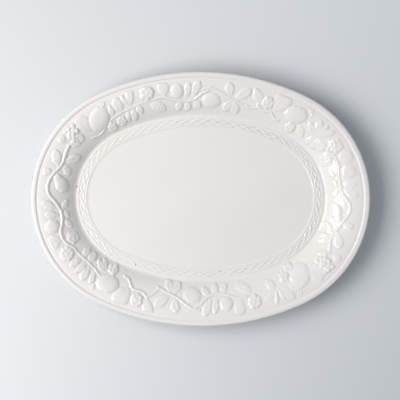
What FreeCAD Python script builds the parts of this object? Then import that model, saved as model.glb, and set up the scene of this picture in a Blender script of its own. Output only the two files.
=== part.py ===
import FreeCAD, Part
import math
import os

# An oval china serving platter with a moulded rim. Millimetres, +Z up.
# The origin is under the middle of the foot and X runs along the platter.
# The garland on the rim is one pattern laid twice, half a turn apart.

# Oval of four arcs
length = 380.0
width = 286.5
end_radius = 130.0            # outer edge round each end
height = 31.5

# Insets are measured inward from the outer edge
lip_inset = 0.8
lip_width = 4.4
lip_height = 1.2
lip_corner = 0.9
rim_width = 48.0              # outer edge to the foot of the slope
band_width = 15.0             # plaited band between the slope and the well
well_corner = 0.6

# Thicknesses
wall = 5.2
floor_thickness = 5.8
foot_height = 4.0
foot_inset = 53.0
foot_width = 5.0
foot_corner = 1.2
edge_top_radius = 0.8
edge_bottom_radius = 2.4

# Rim slope and band
rim_start_slope = 3.0         # degrees, where the slope leaves the lip
band_step = 0.5               # band above the well
verge_radius = 1.35           # bead at the foot of the slope
border_width = 1.3            # fine ridges on both sides of the plait
border_flat = 0.6
border_height = 0.6
border_inset = 1.6            # border ridge's middle from each side of the plaited band
verge_space = 3.4             # part of the band taken by the verge bead

# Plait
plait_crossings = 62
plait_radius = 1.45
plait_sink = 0.45

# Garland pattern: drawn flat, then stretched along half the rim
pattern_length = 463.0
pattern_outer = 5.5           # pattern insets that fall on the lip and on the verge
pattern_inner = 48.0
pattern_middle = 22.0
stem_radius = 1.4
stem_sink = 0.1
tendril_radius = 0.8
sprig_bend = 1.0              # share of the rim's curve that a sprig's middle sinks by
sprig_root = 3.0              # how far a sprig is drawn below the rim before it is trimmed
leaf_height = 2.1
leaf_edge = 0.5
smallest_chip = 0.8           # trimmed crumbs below this volume are left out

up = FreeCAD.Vector(0, 0, 1)
origin = FreeCAD.Vector()

# Worked out from the sizes above
semi_length = length / 2
semi_width = width / 2
side_radius = ((semi_length ** 2 + semi_width ** 2 - 2 * semi_length * end_radius)
               / (2 * (semi_width - end_radius)))
end_centre = semi_length - end_radius
side_centre = side_radius - semi_width
join_angle = math.atan2(side_centre, end_centre)
rim_top = height - lip_height
lip_end = lip_inset + lip_width
floor_top = foot_height + floor_thickness
band_top = floor_top + band_step
well_inset = rim_width + band_width
plate_inset = well_inset + 2 * well_corner
border_outer = rim_width + verge_space + border_inset
border_inner = well_inset - border_inset
plait_inset = (border_outer + border_inner) / 2
plait_reach = (border_inner - border_outer - border_width) / 2 - plait_radius

# The slope is one arc that leaves the lip at rim_start_slope and ends on the band
slope_run = rim_width - lip_end
slope_drop = rim_top - band_top
start_slope = math.radians(rim_start_slope)
chord_slope = math.atan2(slope_drop, slope_run)
end_slope = 2 * chord_slope - start_slope
slope_radius = math.hypot(slope_run, slope_drop) / (2 * math.sin((end_slope - start_slope) / 2))
slope_inset = lip_end - math.sin(start_slope) * slope_radius
slope_z = rim_top - math.cos(start_slope) * slope_radius


def slope_point(slope, depth=0.0):
    reach = slope_radius - depth
    return slope_inset + math.sin(slope) * reach, slope_z + math.cos(slope) * reach


# Rings: a section in (inset, z) turned about the four centres of the oval

def oval_arcs():
    join = math.degrees(join_angle)
    return [
        (FreeCAD.Vector(end_centre, 0, 0), end_radius, -join, 2 * join),
        (FreeCAD.Vector(0, -side_centre, 0), side_radius, join, 180 - 2 * join),
        (FreeCAD.Vector(-end_centre, 0, 0), end_radius, 180 - join, 2 * join),
        (FreeCAD.Vector(0, side_centre, 0), side_radius, 180 + join, 180 - 2 * join),
    ]


def section(outline, radius):
    # two numbers are a line to that point, four are an arc through the first pair to the second
    def at(inset, z):
        return FreeCAD.Vector(radius - inset, 0, z)

    edges = []
    here = at(*outline[0])
    for step in outline[1:] + [outline[0]]:
        there = at(*step[-2:])
        if len(step) == 4:
            edges.append(Part.Arc(here, at(*step[:2]), there).toShape())
        elif there.distanceToPoint(here) > 1e-6:
            edges.append(Part.LineSegment(here, there).toShape())
        here = there
    return Part.Face(Part.Wire(edges))


def quarter_turns(outline):
    turns = []
    for centre, radius, start, sweep in oval_arcs():
        face = section(outline, radius)
        face.rotate(origin, up, start)
        turn = face.revolve(origin, up, sweep)
        turn.translate(centre)
        turns.append(turn)
    return turns


def ring(outline):
    turns = quarter_turns(outline)
    return turns[0].fuse(turns[1:])


def oval_plate(inset, bottom, top):
    edges = []
    for centre, radius, start, sweep in oval_arcs():
        circle = Part.Circle(centre + FreeCAD.Vector(0, 0, bottom), up, radius - inset)
        edges.append(Part.Arc(circle, math.radians(start), math.radians(start + sweep)).toShape())
    return Part.Face(Part.Wire(edges)).extrude(up * (top - bottom))


def corner(inset, z, radius, inset_side, z_side):
    # middle of a rounded corner whose arc centre lies at (inset, z)
    part = radius * math.sqrt(0.5)
    return inset + inset_side * part, z + z_side * part


# Platter

def platter_body():
    under_start = slope_point(start_slope, wall)
    under_middle = slope_point((start_slope + end_slope) / 2, wall)
    under_end = slope_point(end_slope, wall)
    under_flat = under_end[0] + (under_end[1] - foot_height) / math.tan(end_slope)
    top_corner = corner(edge_top_radius, rim_top - edge_top_radius, edge_top_radius, -1, 1)
    low = under_start[1]
    bottom_corner = corner(edge_bottom_radius, low + edge_bottom_radius, edge_bottom_radius, -1, -1)
    outline = [
        (edge_top_radius, rim_top),
        (lip_end, rim_top),
        (*slope_point((start_slope + end_slope) / 2), rim_width, band_top),
        (well_inset, band_top),
        (well_inset + well_corner, floor_top),
        (plate_inset, floor_top),
        (plate_inset, foot_height),
        (under_flat, foot_height),
        under_end,
        (*under_middle, *under_start),
        (edge_bottom_radius, low),
        (*bottom_corner, 0, low + edge_bottom_radius),
        (0, rim_top - edge_top_radius),
        (*top_corner, edge_top_radius, rim_top),
    ]
    plate = oval_plate(plate_inset, foot_height, floor_top)
    return ring(outline).fuse(plate).removeSplitter()


def foot_ring():
    inner = foot_inset + foot_width
    outer_corner = corner(foot_inset + foot_corner, foot_corner, foot_corner, -1, -1)
    inner_corner = corner(inner - foot_corner, foot_corner, foot_corner, 1, -1)
    return ring([
        (foot_inset, foot_height),
        (foot_inset, foot_corner),
        (*outer_corner, foot_inset + foot_corner, 0),
        (inner - foot_corner, 0),
        (*inner_corner, inner, foot_corner),
        (inner, foot_height),
    ])


def lip_bead():
    top = rim_top + lip_height
    outer_corner = corner(lip_inset + lip_corner, top - lip_corner, lip_corner, -1, 1)
    inner_corner = corner(lip_end - lip_corner, top - lip_corner, lip_corner, 1, 1)
    return ring([
        (lip_inset, rim_top),
        (lip_inset, top - lip_corner),
        (*outer_corner, lip_inset + lip_corner, top),
        (lip_end - lip_corner, top),
        (*inner_corner, lip_end, top - lip_corner),
        (lip_end, rim_top),
    ])


# Places on the rim and on the band

def on_oval(turn, inset, spaced_at):
    # turn runs from 0 to 1 anticlockwise from the middle of the back side, with equal steps at
    # spaced_at; gives the point and the outward direction
    side_length = (side_radius - spaced_at) * (math.pi / 2 - join_angle)
    end_length = (end_radius - spaced_at) * join_angle
    quarter = side_length + end_length
    travel = turn % 1 * 4 * quarter
    quadrant = int(travel // quarter)
    rest = travel - quadrant * quarter
    if quadrant % 2:
        rest = quarter - rest
    if rest < side_length:
        angle = math.pi / 2 - rest / (side_radius - spaced_at)
        radius = side_radius - inset
        centre = FreeCAD.Vector(0, -side_centre, 0)
    else:
        angle = join_angle - (rest - side_length) / (end_radius - spaced_at)
        radius = end_radius - inset
        centre = FreeCAD.Vector(end_centre, 0, 0)
    outward = FreeCAD.Vector(math.cos(angle), math.sin(angle), 0)
    point = centre + outward * radius
    flip_x = -1 if quadrant < 2 else 1
    flip_y = 1 if quadrant in (0, 3) else -1
    return (FreeCAD.Vector(point.x * flip_x, point.y * flip_y, 0),
            FreeCAD.Vector(outward.x * flip_x, outward.y * flip_y, 0))


def on_rim(along, across):
    # a pattern point on the rim's face, with the upright and the up-slope direction there
    field = (across - pattern_outer) / (pattern_inner - pattern_outer)
    inset = lip_end + field * (rim_width - lip_end)
    middle = lip_end + ((pattern_middle - pattern_outer) / (pattern_inner - pattern_outer)
                        * (rim_width - lip_end))
    point, outward = on_oval(along / pattern_length / 2, inset, middle)
    slope = math.asin(min(1.0, max(0.0, (inset - slope_inset) / slope_radius)))
    point.z = slope_z + math.cos(slope) * slope_radius
    upright = up * math.cos(slope) - outward * math.sin(slope)
    upslope = outward * math.cos(slope) + up * math.sin(slope)
    return point, upright, upslope


def between(stalk, tip):
    # where a sprig that runs from stalk to tip sits: its length, its middle, the upright and the
    # direction ahead, sunk a little so that both ends follow the curved rim
    start = on_rim(*stalk)[0]
    end = on_rim(*tip)[0]
    point, upright, upslope = on_rim((stalk[0] + tip[0]) / 2, (stalk[1] + tip[1]) / 2)
    hollow = (point - (start + end) / 2).dot(upright)
    return start.distanceToPoint(end), point - upright * hollow * sprig_bend, upright, end - start


def placed(shape, point, upright, ahead):
    ahead = ahead - upright * ahead.dot(upright)
    side = upright.cross(ahead)
    seat = FreeCAD.Placement(point, FreeCAD.Rotation(ahead, side, upright, "ZXY"))
    shape.Placement = seat.multiply(shape.Placement)
    return shape


# Sprig shapes, drawn about the origin with the rim's face at z = 0

def dome(radius, rise):
    ball = (radius ** 2 + rise ** 2) / (2 * rise)
    centre = rise - ball
    lowest = math.degrees(math.asin(max(-1.0, (-sprig_root - centre) / ball)))
    return Part.makeSphere(ball, FreeCAD.Vector(0, 0, centre), up, lowest, 90, 360)


def oval_dome(long_radius, short_radius, rise):
    ball = (short_radius ** 2 + rise ** 2) / (2 * rise)
    long_ball = ball * long_radius / short_radius
    if long_ball > ball * 1.02:
        ellipse = Part.Ellipse(origin, long_ball, ball)
        half = Part.Arc(ellipse, 0, math.pi).toShape()
        axis = Part.LineSegment(half.lastVertex().Point, half.firstVertex().Point).toShape()
        body = Part.Face(Part.Wire([half, axis])).revolve(origin, FreeCAD.Vector(1, 0, 0), 360)
    else:
        body = Part.makeSphere(ball)
    body.translate(FreeCAD.Vector(0, 0, rise - ball))
    reach = long_radius * 1.2
    room = Part.makeBox(2 * reach, 2 * reach, sprig_root + rise + 1,
                        FreeCAD.Vector(-reach, -reach, -sprig_root))
    return body.common(room)


def leaf_blade(long, wide, rise):
    # two arcs meeting at stalk and tip, crowned along the midrib
    start = FreeCAD.Vector(-long / 2, 0, -sprig_root)
    end = FreeCAD.Vector(long / 2, 0, -sprig_root)
    left = Part.Arc(start, FreeCAD.Vector(0, wide / 2, -sprig_root), end).toShape()
    right = Part.Arc(end, FreeCAD.Vector(0, -wide / 2, -sprig_root), start).toShape()
    blank = Part.Face(Part.Wire([left, right])).extrude(up * (sprig_root + rise))
    crown = rise - leaf_edge
    crown_radius = ((wide / 2) ** 2 + crown ** 2) / (2 * crown)
    bar = Part.makeCylinder(crown_radius, long * 1.2,
                            FreeCAD.Vector(-long * 0.6, 0, rise - crown_radius),
                            FreeCAD.Vector(1, 0, 0))
    return blank.common(bar)


# Sprigs on the rim: each gives its pieces of clay and the simple shapes that keep its room clear

def leaf(stalk, tip, wide, rise=leaf_height):
    long, point, upright, ahead = between(stalk, tip)
    blade = placed(leaf_blade(long, wide, rise), point, upright, ahead)
    return [blade], [blade]


def bud(centre, radius, rise):
    point, upright, upslope = on_rim(*centre)
    ball = placed(dome(radius, rise), point, upright, upslope)
    return [ball], [ball]


def fruit(stalk, crown, wide, rise):
    long, point, upright, ahead = between(stalk, crown)
    body = placed(oval_dome(long / 2, wide / 2, rise), point, upright, ahead)
    return [body], [body]


def blossom(centre, radius, petals, rise, eye):
    point, upright, upslope = on_rim(*centre)
    petal_radius = radius * math.sin(math.pi / petals) * 1.12
    pieces = [dome(eye, rise * 1.15)]
    for petal in range(petals):
        turn = 2 * math.pi * petal / petals
        part = dome(petal_radius, rise * 0.8)
        part.translate(FreeCAD.Vector(math.cos(turn), math.sin(turn), 0) * (radius - petal_radius))
        pieces.append(part)
    pieces = [placed(piece, point, upright, upslope) for piece in pieces]
    return pieces, [placed(dome(radius, rise * 1.3), point, upright, upslope)]


def cluster(stalk, crown, wide, rise, grain):
    # a raised oval covered with rows of small domes
    long, point, upright, ahead = between(stalk, crown)
    reach = long / 2
    row_step = grain * 1.55
    seed_step = grain * 1.75
    pieces = [oval_dome(reach - grain / 2, wide / 2 - grain / 2, rise * 0.7)]
    rows = int(reach // row_step)
    for row in range(-rows, rows + 1):
        spread = wide / 2 * math.sqrt(max(0.0, 1 - (row * row_step / (reach + grain)) ** 2))
        seeds = max(1, int(2 * spread / seed_step))
        for seed in range(seeds):
            across = (seed - (seeds - 1) / 2) * seed_step
            inside = 1 - (row * row_step / reach) ** 2 - (across / (wide / 2)) ** 2
            lift = rise * 0.75 * math.sqrt(max(0.05, inside)) - grain * 0.55
            pieces.append(Part.makeSphere(grain, FreeCAD.Vector(row * row_step, across, lift)))
    pieces = [placed(piece, point, upright, ahead) for piece in pieces]
    room = oval_dome(reach + grain, wide / 2 + grain / 2, rise * 1.2)
    return pieces, [placed(room, point, upright, ahead)]


def stem(path, radius):
    points = []
    for along, across in path:
        point, upright, upslope = on_rim(along, across)
        points.append(point - upright * stem_sink)
    pieces = [Part.makeSphere(radius, point) for point in points]
    for here, there in zip(points, points[1:]):
        pieces.append(Part.makeCylinder(radius, here.distanceToPoint(there), here, there - here))
    return pieces, pieces


def half_turn(shape):
    other = shape.copy()
    other.rotate(origin, up, 180)
    return other


# The garland, sprig by sprig, in pattern millimetres: (along, across)

small_apples = [
    ((27.0, 28.0), (27.0, 12.8), 15.2, 3.8),
    ((261.0, 26.8), (261.0, 11.2), 15.6, 3.6),
    ((450.8, 38.8), (452.2, 29.4), 10.6, 3.2),
]
large_apples = [
    ((126.5, 34.0), (111.5, 14.8), 22.0, 4.7),
    ((361.5, 33.6), (345.5, 15.6), 22.0, 4.7),
]
apple_crowns = [
    (107.6, 12.2),
    (341.6, 13.6),
]
pear_parts = [
    ((201.0, 25.0), (209.0, 31.0), 8.0, 3.0),
    ((206.5, 28.5), (223.0, 36.8), 13.4, 4.2),
]
blossoms = [
    ((58.5, 16.0), 8.2, 6, 2.0, 2.8),
    ((96.0, 38.0), 6.0, 5, 2.0, 2.2),
    ((112.0, 39.5), 5.6, 5, 2.0, 2.0),
    ((390.5, 19.0), 8.0, 6, 2.0, 2.8),
]
roses = [
    ((284.0, 35.0), 7.8, 7, 2.6, 4.2),
]
raspberries = [
    ((154.0, 28.0), (154.0, 11.5), 14.4, 3.4, 2.0),
]
seed_heads = [
    ((296.0, 28.6), (296.0, 12.6), 15.6, 3.2, 1.9),
]
outer_leaves = [
    ((8.0, 28.0), (0.0, 10.0), 8.0),
    ((16.0, 29.0), (12.0, 12.0), 7.0),
    ((80.5, 26.0), (76.0, 8.0), 8.0),
    ((82.0, 26.5), (88.0, 11.0), 5.5),
    ((93.5, 26.0), (93.5, 12.5), 8.0),
    ((136.5, 26.0), (136.5, 9.5), 9.0),
    ((165.3, 21.5), (165.3, 9.5), 8.0),
    ((195.0, 24.5), (182.0, 10.0), 9.0),
    ((202.5, 20.0), (202.5, 8.5), 7.0),
    ((236.0, 23.5), (236.0, 11.0), 8.0),
    ((248.0, 27.5), (248.0, 13.5), 9.0),
    ((277.0, 22.0), (277.0, 8.0), 12.0),
    ((309.5, 28.5), (309.5, 14.5), 8.0),
    ((317.0, 31.0), (317.0, 14.5), 7.0),
    ((324.0, 31.0), (328.0, 13.0), 9.0),
    ((335.0, 28.5), (335.0, 15.0), 7.5),
    ((404.0, 20.5), (410.0, 8.5), 11.0),
    ((427.0, 32.0), (414.0, 14.0), 9.0),
    ((435.0, 27.0), (435.0, 13.0), 9.0),
]
broad_leaves = [
    ((380.0, 30.0), (366.5, 9.5), 15.0),
    ((43.0, 38.5), (56.0, 29.5), 11.0),
]
inner_leaves = [
    ((8.0, 35.5), (1.0, 39.0), 6.0),
    ((18.0, 34.5), (16.0, 43.0), 8.0),
    ((28.0, 34.0), (27.0, 42.0), 7.0),
    ((72.0, 28.5), (72.0, 38.0), 8.0),
    ((79.0, 31.0), (79.0, 42.0), 6.5),
    ((85.5, 30.5), (86.5, 41.0), 6.5),
    ((170.0, 36.0), (185.0, 39.0), 9.0),
    ((188.0, 29.0), (198.0, 34.0), 7.0),
    ((234.0, 33.0), (242.5, 38.5), 6.0),
    ((247.0, 34.5), (255.0, 39.0), 5.0),
    ((254.0, 36.0), (271.0, 39.5), 5.5),
    ((276.5, 29.0), (276.5, 41.0), 4.5),
    ((309.0, 34.0), (309.0, 44.5), 9.0),
    ((320.0, 35.0), (320.0, 46.0), 9.5),
    ((428.0, 33.5), (418.0, 46.0), 10.0),
    ((436.0, 35.0), (436.0, 45.5), 8.5),
]
fan_leaves = [
    ((338.0, 34.0), (328.5, 42.0), 8.0),
    ((344.5, 35.5), (342.0, 45.0), 6.0),
    ((350.5, 36.5), (350.5, 46.0), 6.5),
    ((356.5, 36.5), (360.5, 45.0), 7.0),
]
round_buds = [
    ((40.5, 15.0), 7.0, 2.2),
    ((103.0, 21.5), 4.0, 1.8),
]
raspberry_collar = [
    ((153.0, 33.0), (145.5, 27.5), 5.0),
    ((155.0, 33.0), (162.5, 27.5), 5.0),
]
vines = [
    [(-6, 23), (4, 31), (18, 35.5), (42, 27), (50, 25), (81, 27.5), (95, 29)],
    [(148, 30), (155, 30.5), (164, 25), (173, 24), (192, 26.4), (206.6, 19.8), (216.5, 16.8),
     (226.5, 20.4), (241, 30), (252, 32.8), (263.6, 28.5), (285.6, 24.4), (295.5, 30),
     (322, 34.2), (340, 30.6)],
    [(369.6, 39), (384.5, 28.5), (396, 27.8), (401.8, 23.5)],
    [(400.6, 26), (410.5, 35.3)],
    [(413.6, 37), (429, 31.6), (444, 24.8), (456, 18)],
]
tendrils = [
    [(119.5, 38.5), (124, 40.3), (130, 41), (136, 38.4), (141, 34)],
]


# Making and laying the pieces

def rim_faces():
    # the rim's and the band's own faces with only clay below, which trim what lies on them
    bottom = band_top - 2 * (sprig_root + wall)
    return quarter_turns([
        (0, rim_top),
        (lip_end, rim_top),
        (*slope_point((start_slope + end_slope) / 2), rim_width, band_top),
        (well_inset, band_top),
        (well_inset, bottom),
        (0, bottom),
    ])


rim_trim = rim_faces()
laid = []


def lay(pieces, room):
    # join a sprig's pieces, then trim it to the rim's face and to the sprigs laid before it
    shape = pieces[0].fuse(pieces[1:]) if len(pieces) > 1 else pieces[0]
    for other in rim_trim + laid:
        if shape.BoundBox.intersect(other.BoundBox):
            shape = shape.cut(other)
    laid.extend(room)
    return [solid for solid in shape.Solids if solid.Volume > smallest_chip]


def lay_all(make, rows):
    solids = []
    for row in rows:
        solids.extend(lay(*make(*row)))
    return solids + [half_turn(solid) for solid in solids]


def bead(inset, radius):
    # the half of a round bead that stands above the band
    return ring([(inset + radius, band_top),
                 (inset, band_top + radius, inset - radius, band_top)])


def ridge(inset):
    return ring([(inset + border_width / 2, band_top),
                 (inset + border_flat / 2, band_top + border_height),
                 (inset - border_flat / 2, band_top + border_height),
                 (inset - border_width / 2, band_top)])


def plait():
    # two strands cross all along the band; each lobe passes over one crossing, turns at both
    # sides of the band and ends against the lobes that pass over it at the next crossings
    tail_end = 0.9

    def strand_point(crossing, share):
        point = on_oval(crossing / plait_crossings, plait_inset + share * plait_reach,
                        plait_inset)[0]
        point.z = band_top - plait_sink
        return point

    def bar(start, end):
        return Part.makeCylinder(plait_radius, start.distanceToPoint(end), start, end - start)

    def over(crossing):
        start = strand_point(crossing - 0.5, -1)
        end = strand_point(crossing + 0.5, 1)
        return [bar(start, end), Part.makeSphere(plait_radius, start),
                Part.makeSphere(plait_radius, end)]

    def lobe(crossing):
        first = bar(strand_point(crossing - tail_end, tail_end - 1),
                    strand_point(crossing - 0.5, -1))
        last = bar(strand_point(crossing + 0.5, 1), strand_point(crossing + tail_end, 1 - tail_end))
        middle = over(crossing)
        reach = 2 * plait_radius * plait_crossings
        room = Part.makeBox(reach, reach, plait_radius,
                            strand_point(crossing, 0) + FreeCAD.Vector(-reach / 2, -reach / 2,
                                                                       plait_sink))
        tails = first.fuse(last).cut(over(crossing - 1) + over(crossing + 1))
        return max(middle[0].fuse(middle[1:] + tails.Solids).common(room).Solids,
                   key=lambda solid: solid.Volume)

    half = plait_crossings // 2
    lobes = [lobe(crossing) for crossing in range(half)]
    first_strand = lobes[0::2] + [half_turn(solid) for solid in lobes[1::2]]
    second_strand = lobes[1::2] + [half_turn(solid) for solid in lobes[0::2]]
    return first_strand, second_strand


def save(name, solids):
    shape = solids[0] if len(solids) == 1 else Part.makeCompound(solids)
    shape.exportStep("parts/" + name + ".step")
    volume = sum(solid.Volume for solid in shape.Solids)
    print(f"{name}: {len(shape.Solids)} solids, {volume / 1000:.2f} cm3, valid {shape.isValid()}")


os.makedirs("parts", exist_ok=True)
save("platter_body", [platter_body()])
save("foot_ring", [foot_ring()])
save("lip_bead", [lip_bead()])
save("verge_bead", [bead(rim_width + verge_radius, verge_radius)])
save("plait_border_outer", [ridge(border_outer)])
save("plait_border_inner", [ridge(border_inner)])
plait_strands = plait()
save("plait_strand_first", plait_strands[0])
save("plait_strand_second", plait_strands[1])
save("small_apples", lay_all(fruit, small_apples))
save("large_apples", lay_all(fruit, large_apples))
save("apple_crowns", lay_all(blossom, [(place, 3.6, 5, 1.3, 1.4) for place in apple_crowns]))
save("pears", lay_all(fruit, pear_parts))
save("raspberries", lay_all(cluster, raspberries))
save("seed_heads", lay_all(cluster, seed_heads))
save("blossoms", lay_all(blossom, blossoms))
save("roses", lay_all(blossom, roses))
save("vine_stems", lay_all(stem, [(path, stem_radius) for path in vines]))
save("tendrils", lay_all(stem, [(path, tendril_radius) for path in tendrils]))
save("raspberry_collars", lay_all(leaf, raspberry_collar))
save("broad_leaves", lay_all(leaf, broad_leaves))
save("outer_leaves", lay_all(leaf, outer_leaves))
save("inner_leaves", lay_all(leaf, inner_leaves))
save("fan_leaves", lay_all(leaf, fan_leaves))
save("round_buds", lay_all(bud, round_buds))
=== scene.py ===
import bpy
import math
import numpy as np
from mathutils import Matrix, Vector


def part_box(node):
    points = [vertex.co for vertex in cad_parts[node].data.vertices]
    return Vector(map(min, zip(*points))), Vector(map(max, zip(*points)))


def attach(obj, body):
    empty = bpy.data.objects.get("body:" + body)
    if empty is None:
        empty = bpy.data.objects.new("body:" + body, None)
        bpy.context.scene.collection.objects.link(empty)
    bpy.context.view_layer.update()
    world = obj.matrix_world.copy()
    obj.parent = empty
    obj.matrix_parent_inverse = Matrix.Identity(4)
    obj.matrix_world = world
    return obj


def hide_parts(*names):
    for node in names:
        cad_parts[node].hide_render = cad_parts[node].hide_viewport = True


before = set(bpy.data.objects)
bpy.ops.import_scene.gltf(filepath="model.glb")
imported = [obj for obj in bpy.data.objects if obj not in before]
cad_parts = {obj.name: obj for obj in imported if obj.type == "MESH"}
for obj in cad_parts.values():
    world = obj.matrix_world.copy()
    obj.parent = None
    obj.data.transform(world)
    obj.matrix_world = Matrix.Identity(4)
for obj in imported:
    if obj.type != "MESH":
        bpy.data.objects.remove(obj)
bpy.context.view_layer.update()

# Shapes are worked out in millimetres and made in metres. Insets run inward from the
# platter's edge, turns run from 0 to 1 anticlockwise from the middle of the back.
metre = 1000.0


def nodeBox(name):
    low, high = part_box(name)
    return Vector(low) * metre, Vector(high) * metre


bodyLow, bodyHigh = nodeBox("platter_body")
lipLow, lipHigh = nodeBox("lip_bead")
footLow, footHigh = nodeBox("foot_ring")


def smoothStep(low, high, x):
    t = np.clip((x - low) / (high - low), 0, 1)
    return t * t * (3 - 2 * t)


def swell(turn, middle, spread):
    # one smooth rise along the rim, wrapped round it
    away = (turn - middle + 0.5) % 1 - 0.5
    return np.exp(-(away / spread) ** 2)


def smoothMax(a, b, blend):
    mix = np.clip(0.5 + 0.5 * (a - b) / blend, 0, 1)
    return b + (a - b) * mix + blend * mix * (1 - mix)


def blur(field, rows, columns):
    # columns close round the platter, rows end at the borders
    for axis, size in ((0, rows), (1, columns)):
        reach = max(1, int(3 * size))
        steps = np.arange(-reach, reach + 1)
        weights = np.exp(-0.5 * (steps / size) ** 2)
        weights /= weights.sum()
        pad = [(0, 0), (0, 0)]
        pad[axis] = (reach, reach)
        padded = np.pad(field, pad, mode="wrap" if axis else "edge")
        count = field.shape[axis]
        parts = [np.take(padded, np.arange(k, k + count), axis) for k in range(2 * reach + 1)]
        field = sum(weight * part for weight, part in zip(weights, parts))
    return field


# Oval of four arcs, and its section

platter = {
    "endRadius": 130.0,
    "lipWidth": 4.4,
    "slopeEnd": 48.0,
    "startSlope": 3.0,  # degrees
    "wall": 5.2,
    "floor": 5.8,
    "bandStep": 0.5,
    "footInset": footLow.x - bodyLow.x,
    "footWidth": 5.0,
    "footCorner": 1.2,
    "spacing": 22.0,  # inset at which turns are evenly spaced
    "trueEdge": 6.0,  # the wobble of the clay grows over this inset
}


class Oval:
    # turns are evenly spaced along the line at one inset, the spacing
    def __init__(self, length, width, endRadius, spacing):
        a, b = length / 2, width / 2
        self.endRadius = endRadius
        self.spacing = spacing
        self.sideRadius = (a * a + b * b - 2 * a * endRadius) / (2 * (b - endRadius))
        self.endCentre = a - endRadius
        self.sideCentre = self.sideRadius - b
        self.join = math.atan2(self.sideCentre, self.endCentre)

    def lengths(self, inset):
        # a quarter's side and end stretches along the line at this inset
        return ((self.sideRadius - inset) * (math.pi / 2 - self.join),
                (self.endRadius - inset) * self.join)

    def round(self, inset):
        return 4 * sum(self.lengths(inset))

    def angle(self, turn):
        # which quarter a turn is in, and its arc angle there
        side, end = self.lengths(self.spacing)
        travel = np.mod(turn, 1) * 4
        quarter = np.minimum(travel.astype(int), 3)
        rest = (travel - quarter) * (side + end)
        rest = np.where(quarter % 2 == 1, side + end - rest, rest)
        onSide = rest < side
        angle = np.where(onSide, math.pi / 2 - rest / (self.sideRadius - self.spacing),
                         self.join - (rest - side) / (self.endRadius - self.spacing))
        return quarter, onSide, angle

    def respaced(self, turn, inset):
        # the same places as turns that are even along another line
        quarter, onSide, angle = self.angle(turn)
        side, end = self.lengths(inset)
        rest = np.where(onSide, (math.pi / 2 - angle) * (self.sideRadius - inset),
                        side + (self.join - angle) * (self.endRadius - inset))
        rest = np.where(quarter % 2 == 1, side + end - rest, rest)
        return (quarter + rest / (side + end)) / 4

    def place(self, turn, inset):
        quarter, onSide, angle = self.angle(turn)
        radius = np.where(onSide, self.sideRadius, self.endRadius) - inset
        x = np.where(onSide, 0.0, self.endCentre) + np.cos(angle) * radius
        y = np.where(onSide, -self.sideCentre, 0.0) + np.sin(angle) * radius
        left = np.where(quarter < 2, -1, 1)
        back = np.where((quarter == 0) | (quarter == 3), 1, -1)
        return x * left, y * back


oval = Oval(bodyHigh.x - bodyLow.x, bodyHigh.y - bodyLow.y, platter["endRadius"],
            platter["spacing"])
rimTop = bodyHigh.z
lipTop = lipHigh.z
lipEnd = lipLow.x - bodyLow.x + platter["lipWidth"]
footTop = footHigh.z
floorTop = footTop + platter["floor"]
bandTop = floorTop + platter["bandStep"]


class Slope:
    # the rim's section is one arc from the lip to the band
    def __init__(self):
        run = platter["slopeEnd"] - lipEnd
        drop = rimTop - bandTop
        self.start = math.radians(platter["startSlope"])
        self.end = 2 * math.atan2(drop, run) - self.start
        self.radius = math.hypot(run, drop) / (2 * math.sin((self.end - self.start) / 2))
        self.inset = lipEnd - math.sin(self.start) * self.radius
        self.z = rimTop - math.cos(self.start) * self.radius

    def sine(self, inset):
        return np.clip((inset - self.inset) / self.radius, math.sin(self.start), math.sin(self.end))

    def height(self, inset):
        sine = self.sine(inset)
        return np.where(inset < lipEnd, rimTop, self.z + np.sqrt(1 - sine ** 2) * self.radius)

    def steepness(self, inset):
        return 1 / np.sqrt(1 - self.sine(inset) ** 2)

    def under(self, steps):
        # the wall's lower face, from the lip's end to where it meets the flat base
        reach = self.radius - platter["wall"]
        points = []
        for angle in np.linspace(self.start, self.end, steps):
            points.append((self.inset + math.sin(angle) * reach, self.z + math.cos(angle) * reach))
        inset, z = points[-1]
        points.append((inset + (z - footTop) / math.tan(self.end), footTop))
        return points


slope = Slope()

mesh = {
    "columns": 2208,
    "columnStep": 0.42,  # about how far apart the columns are
    "garlandStep": 0.42,
    "bandStep": 0.3,
    "lipStep": 0.4,
    "underColumns": 552,
    "floorColumns": 276,
    "floorRings": 70,
    "floorGap": 1.2,  # between the band's last row and the well
    "recessRings": 33,
    "lipSection": 8.6,  # inset where the lip's rows end and the garland's begin
    "bandSection": 47.4,
    "floorSection": 65.0,
}


def throughPoints(points, step):
    # a smooth line through a few points, in even steps
    p = np.array([points[0]] + list(points) + [points[-1]], float)
    line = []
    for k in range(1, len(p) - 2):
        a, b, c, d = p[k - 1:k + 3]
        count = max(2, int(np.linalg.norm(c - b) / step))
        t = np.linspace(0, 1, count, endpoint=False)[:, None]
        line.append(0.5 * (2 * b + (c - a) * t + (2 * a - 5 * b + 4 * c - d) * t ** 2
                           + (3 * b - a - 3 * c + d) * t ** 3))
    line.append(p[-1:])
    return np.concatenate(line)


# Garland, drawn as heights over the rim, one pattern that the other half repeats

pattern = {
    "length": 463.0,  # half way round the platter
    "softness": 0.4,  # how far the glaze rounds the relief
    "sway": 0.22,
    "blend": 0.18,  # how far neighbours run into each other
    "flowerBlend": 0.2,
    "roundness": 0.6,
    "depth": (0.92, 0.2),  # pressed deeper on the left than on the right
    "worn": (0.12, 0.58, 0.13),  # shallower by this share at one turn, over this spread
    "shallow": (0.45, 0.767, 0.035),  # the same for the outer leaves alone
    "shallowInsets": (28.0, 21.0),
    "fadeIn": 1.6,  # the relief grows from the lip over this inset
    "vineSink": 0.3,  # share of its radius that a vine lies under the rim
    "vineStep": 1.2,
}


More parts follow.
